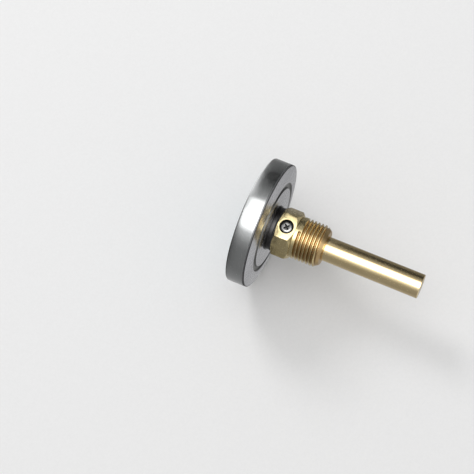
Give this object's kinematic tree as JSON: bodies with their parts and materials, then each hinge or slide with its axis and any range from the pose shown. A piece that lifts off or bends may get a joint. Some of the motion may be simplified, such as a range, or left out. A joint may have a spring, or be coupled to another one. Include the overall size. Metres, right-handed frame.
{
  "type": "dial thermometer",
  "caption": "Round bimetal dial thermometer, 0 to 120 degrees Celsius, with a back-entry stem in a threaded brass pocket held by a clamp screw.",
  "frame": {"origin": "on the pocket's thread axis, in the plane where the hexagon seats on the vessel", "axes": "+Z towards 12 o'clock of the dial, the dial faces -Y, +Y along the stem into the vessel"},
  "size_m": [0.063, 0.087, 0.063],
  "materials": {
    "pocket_brass": "machined, bright",
    "tube_brass": "drawn and polished",
    "screw_steel": "zinc plated",
    "seal_rubber": "matt black",
    "neck_steel": "dark, satin",
    "bush_steel": "turned",
    "stem_steel": "drawn stainless",
    "case_steel": "satin, pressed",
    "bezel_steel": "polished",
    "window_glass": "clear",
    "ring_lacquer": "satin grey-blue",
    "dial_white": "satin cool white",
    "spacer_aluminium": "turned",
    "ink_black": "printed, satin",
    "pointer_black": "satin black",
    "hub_nickel": "turned, bright",
    "spindle_steel": "ground",
    "bearing_brass": "turned",
    "bimetal": "rolled strip"
  },
  "bodies": {
    "pocket": {"pocket_body": "pocket_brass", "pocket_tube": "tube_brass", "pocket_end_plug": "tube_brass"},
    "clamp_screw": {"clamp_screw": "screw_steel"},
    "swivel": {"pocket_seal": "seal_rubber"},
    "head": {"neck_bush": "bush_steel", "neck_nut": "neck_steel", "neck_washer": "neck_steel", "stem_tube": "stem_steel", "stem_end_plug": "stem_steel", "case_pan": "case_steel", "bezel_ring": "bezel_steel", "window": "window_glass", "window_seal": "seal_rubber", "dial_ring": "ring_lacquer", "dial_plate": "dial_white", "dial_spacer": "spacer_aluminium", "scale_lines": "ink_black", "scale_bars": "ink_black", "scale_numerals": "ink_black", "unit_mark": "ink_black", "upper_bearing": "bearing_brass", "lower_bearing": "bearing_brass", "bimetal_coil": "bimetal", "coil_anchor": "bush_steel"},
    "pointer": {"pointer_blade": "pointer_black", "pointer_hub": "hub_nickel", "spindle": "spindle_steel", "coil_collar": "bearing_brass"}
  },
  "joints": [
    {"name": "screw_travel", "type": "slide", "parent": "pocket", "child": "clamp_screw", "axis": [0, 0, 1], "range_m": [0, 0.0035]},
    {"name": "head_turn", "type": "hinge", "parent": "pocket", "child": "swivel", "pos_m": [0, 0, 0], "axis": [0, 1, 0], "continuous": true},
    {"name": "head_pull", "type": "slide", "parent": "swivel", "child": "head", "axis": [0, -1, 0], "range_m": [0, 0.075]},
    {"name": "pointer_turn", "type": "hinge", "parent": "head", "child": "pointer", "pos_m": [0, -0.0172, 0], "axis": [0, 1, 0], "range_deg": [-59.62, 210.38], "stiffness_Nm_per_rad": 0.001, "deforming": ["bimetal_coil"]}
  ]
}
